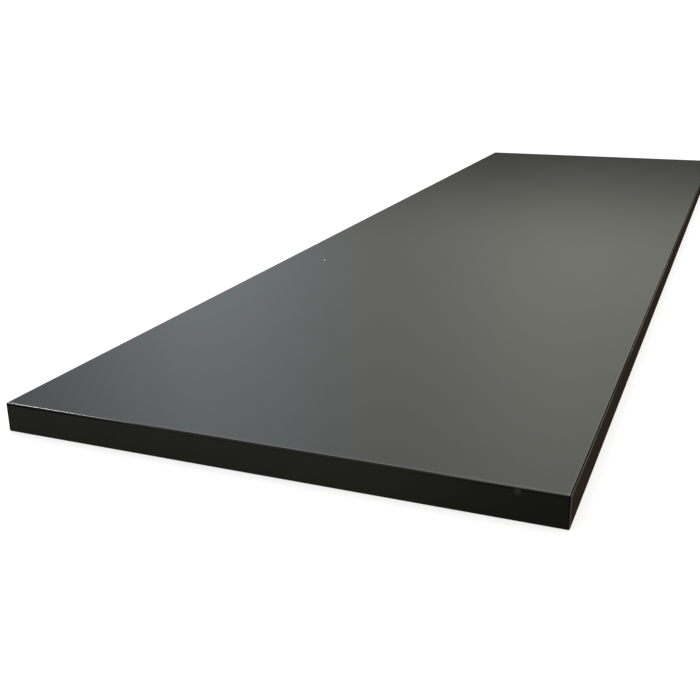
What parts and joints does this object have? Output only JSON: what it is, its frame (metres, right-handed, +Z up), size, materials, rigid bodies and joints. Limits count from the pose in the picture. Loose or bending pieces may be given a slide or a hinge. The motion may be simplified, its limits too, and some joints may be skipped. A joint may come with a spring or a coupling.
{
  "type": "laminate worktop",
  "caption": "Straight square-edged kitchen worktop: a chipboard board faced with matt black laminate, with matching plastic strips on its edges.",
  "frame": {"origin": "centre of the underside", "axes": "+X along the length towards the right end, +Y from the front edge to the back edge, +Z up out of the laminate"},
  "size_m": [2.1, 0.6, 0.033],
  "materials": {
    "chipboard": "matte",
    "black_laminate": "satin",
    "balancing_paper": "matte",
    "black_edging": "satin"
  },
  "bodies": {
    "root": {"core_board": "chipboard", "top_laminate": "black_laminate", "backing_sheet": "balancing_paper", "front_edge_strip": "black_edging", "back_edge_strip": "black_edging", "left_end_strip": "black_edging", "right_end_strip": "black_edging"}
  },
  "joints": []
}
